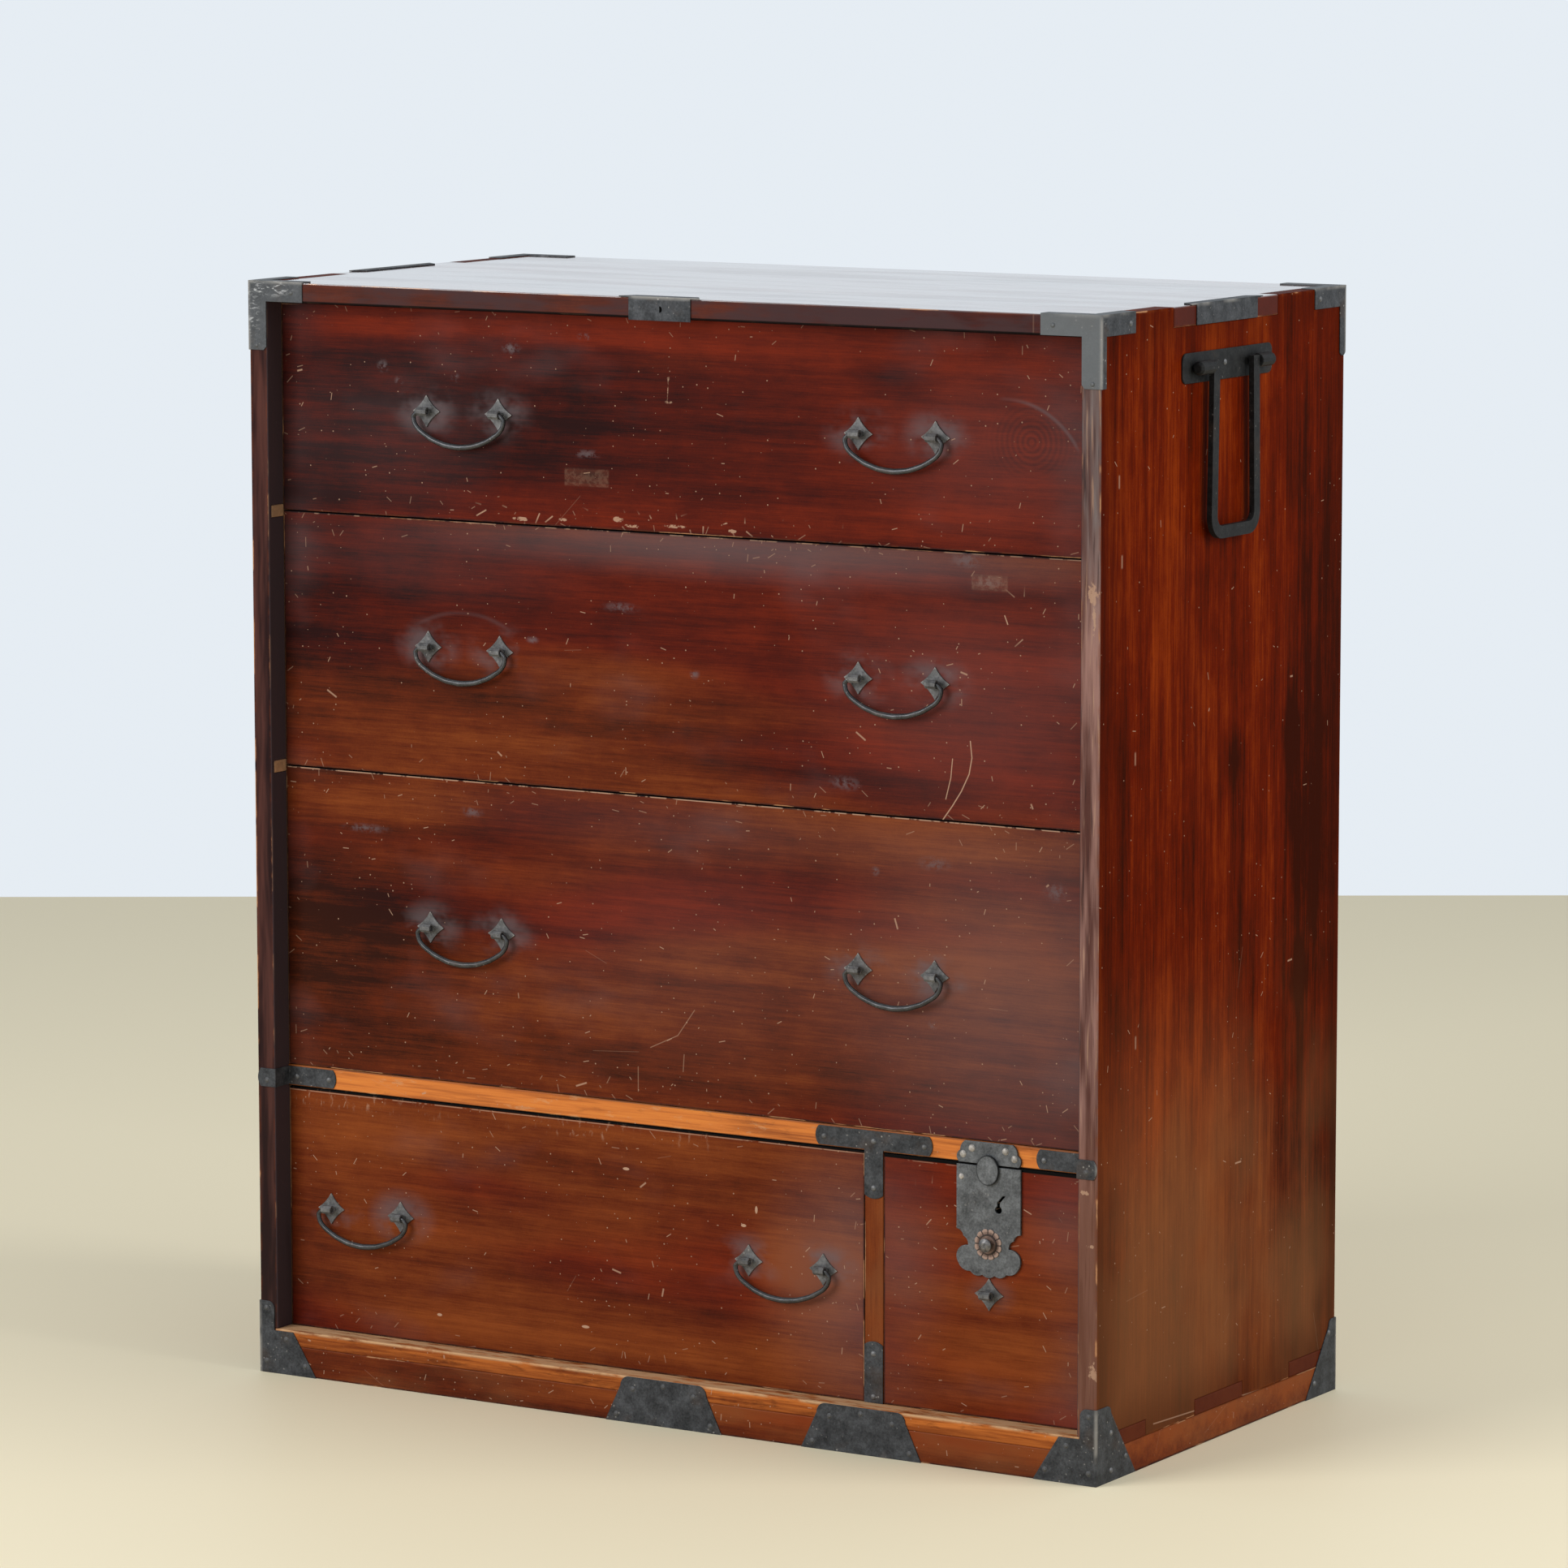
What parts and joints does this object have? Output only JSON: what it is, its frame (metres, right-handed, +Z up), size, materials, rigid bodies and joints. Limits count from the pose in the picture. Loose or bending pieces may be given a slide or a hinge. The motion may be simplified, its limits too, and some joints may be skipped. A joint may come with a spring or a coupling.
{
  "type": "tansu chest",
  "caption": "Floor-standing tansu chest: jointed wooden case with iron fittings, sliding drawers with bail pulls, a locking compartment and swinging side handles.",
  "frame": {"origin": "middle of the footprint, on the floor", "axes": "+Z up, drawers face -Y, +X to the right as seen from the front"},
  "size_m": [0.8236, 0.407, 0.913],
  "materials": {
    "case_lacquer": "gloss dark red-brown lacquer, worn at the edges",
    "drawer_lacquer": "gloss dark red-brown lacquer over straight grain",
    "bare_wood": "bare softwood, smooth, darkened by age",
    "drawer_wood": "bare pale wood",
    "black_iron": "blackened forged iron, satin with light wear",
    "worn_brass": "worn coppery brass"
  },
  "bodies": {
    "case": {"top_panel": "case_lacquer", "side_panel_right": "case_lacquer", "side_panel_left": "case_lacquer", "bottom_panel": "case_lacquer", "back_boards": "bare_wood", "plinth_rails": "case_lacquer", "shelf_upper": "bare_wood", "shelf_middle": "bare_wood", "shelf_lower": "bare_wood", "middle_rail": "bare_wood", "divider_post": "case_lacquer", "partition_board": "bare_wood", "top_corner_irons": "black_iron", "top_lock_plate": "black_iron", "top_edge_straps": "black_iron", "rail_straps": "black_iron", "tee_strap": "black_iron", "divider_foot_strap": "black_iron", "base_plates": "black_iron", "base_corner_irons": "black_iron", "strike_plate": "black_iron", "side_handle_plates": "black_iron", "side_handle_posts": "black_iron"},
    "drawer_1": {"drawer_1_front": "drawer_lacquer", "drawer_1_walls": "drawer_wood", "drawer_1_bottom": "drawer_wood", "drawer_1_pull_mounts": "black_iron"},
    "drawer_2": {"drawer_2_front": "drawer_lacquer", "drawer_2_walls": "drawer_wood", "drawer_2_bottom": "drawer_wood", "drawer_2_pull_mounts": "black_iron"},
    "drawer_3": {"drawer_3_front": "drawer_lacquer", "drawer_3_walls": "drawer_wood", "drawer_3_bottom": "drawer_wood", "drawer_3_pull_mounts": "black_iron"},
    "drawer_4": {"drawer_4_front": "drawer_lacquer", "drawer_4_walls": "drawer_wood", "drawer_4_bottom": "drawer_wood", "drawer_4_pull_mounts": "black_iron"},
    "drawer_5": {"drawer_5_front": "drawer_lacquer", "drawer_5_walls": "drawer_wood", "drawer_5_bottom": "drawer_wood", "drawer_5_pull_mounts": "black_iron", "lock_plate": "black_iron", "lock_rosette": "worn_brass", "lock_case": "black_iron", "lock_bolt": "black_iron"},
    "bail_1_left": {"drawer_1_bail_left": "black_iron"},
    "bail_1_right": {"drawer_1_bail_right": "black_iron"},
    "bail_2_left": {"drawer_2_bail_left": "black_iron"},
    "bail_2_right": {"drawer_2_bail_right": "black_iron"},
    "bail_3_left": {"drawer_3_bail_left": "black_iron"},
    "bail_3_right": {"drawer_3_bail_right": "black_iron"},
    "bail_4_left": {"drawer_4_bail_left": "black_iron"},
    "bail_4_right": {"drawer_4_bail_right": "black_iron"},
    "handle_right": {"side_handle_right": "black_iron"},
    "handle_left": {"side_handle_left": "black_iron"},
    "thumb_slide": {"lock_slide": "black_iron"},
    "push_button": {"lock_button": "black_iron"}
  },
  "joints": [
    {"name": "drawer_1_slide", "type": "slide", "parent": "case", "child": "drawer_1", "axis": [0, -1, 0], "range_m": [0, 0.3]},
    {"name": "drawer_2_slide", "type": "slide", "parent": "case", "child": "drawer_2", "axis": [0, -1, 0], "range_m": [0, 0.3]},
    {"name": "drawer_3_slide", "type": "slide", "parent": "case", "child": "drawer_3", "axis": [0, -1, 0], "range_m": [0, 0.3]},
    {"name": "drawer_4_slide", "type": "slide", "parent": "case", "child": "drawer_4", "axis": [0, -1, 0], "range_m": [0, 0.3]},
    {"name": "drawer_5_slide", "type": "slide", "parent": "case", "child": "drawer_5", "axis": [0, -1, 0], "range_m": [0, 0.3]},
    {"name": "bail_1_left_hinge", "type": "hinge", "parent": "drawer_1", "child": "bail_1_left", "pos_m": [-0.2025, -0.189, 0.81098], "axis": [-1, 0, 0], "range_deg": [-5, 180]},
    {"name": "bail_1_right_hinge", "type": "hinge", "parent": "drawer_1", "child": "bail_1_right", "pos_m": [0.2065, -0.189, 0.81098], "axis": [-1, 0, 0], "range_deg": [-5, 180]},
    {"name": "bail_2_left_hinge", "type": "hinge", "parent": "drawer_2", "child": "bail_2_left", "pos_m": [-0.2025, -0.189, 0.61845], "axis": [-1, 0, 0], "range_deg": [-5, 180]},
    {"name": "bail_2_right_hinge", "type": "hinge", "parent": "drawer_2", "child": "bail_2_right", "pos_m": [0.2065, -0.189, 0.61845], "axis": [-1, 0, 0], "range_deg": [-5, 180]},
    {"name": "bail_3_left_hinge", "type": "hinge", "parent": "drawer_3", "child": "bail_3_left", "pos_m": [-0.2025, -0.189, 0.3867], "axis": [-1, 0, 0], "range_deg": [-5, 180]},
    {"name": "bail_3_right_hinge", "type": "hinge", "parent": "drawer_3", "child": "bail_3_right", "pos_m": [0.2065, -0.189, 0.3867], "axis": [-1, 0, 0], "range_deg": [-5, 180]},
    {"name": "bail_4_left_hinge", "type": "hinge", "parent": "drawer_4", "child": "bail_4_left", "pos_m": [-0.3048, -0.189, 0.14122], "axis": [-1, 0, 0], "range_deg": [-5, 180]},
    {"name": "bail_4_right_hinge", "type": "hinge", "parent": "drawer_4", "child": "bail_4_right", "pos_m": [0.1042, -0.189, 0.14122], "axis": [-1, 0, 0], "range_deg": [-5, 180]},
    {"name": "handle_right_hinge", "type": "hinge", "parent": "case", "child": "handle_right", "pos_m": [0.4064, 0, 0.863], "axis": [0, -1, 0], "range_deg": [-2, 180]},
    {"name": "handle_left_hinge", "type": "hinge", "parent": "case", "child": "handle_left", "pos_m": [-0.4064, 0, 0.863], "axis": [0, 1, 0], "range_deg": [-2, 180]},
    {"name": "thumb_slide_travel", "type": "slide", "parent": "drawer_5", "child": "thumb_slide", "axis": [0, 0, -1], "range_m": [0, 0.007], "stiffness_N_per_m": 100, "springref_m": -0.005},
    {"name": "push_button_travel", "type": "slide", "parent": "drawer_5", "child": "push_button", "axis": [0, 1, 0], "range_m": [0, 0.0025], "stiffness_N_per_m": 300, "springref_m": -0.002}
  ]
}
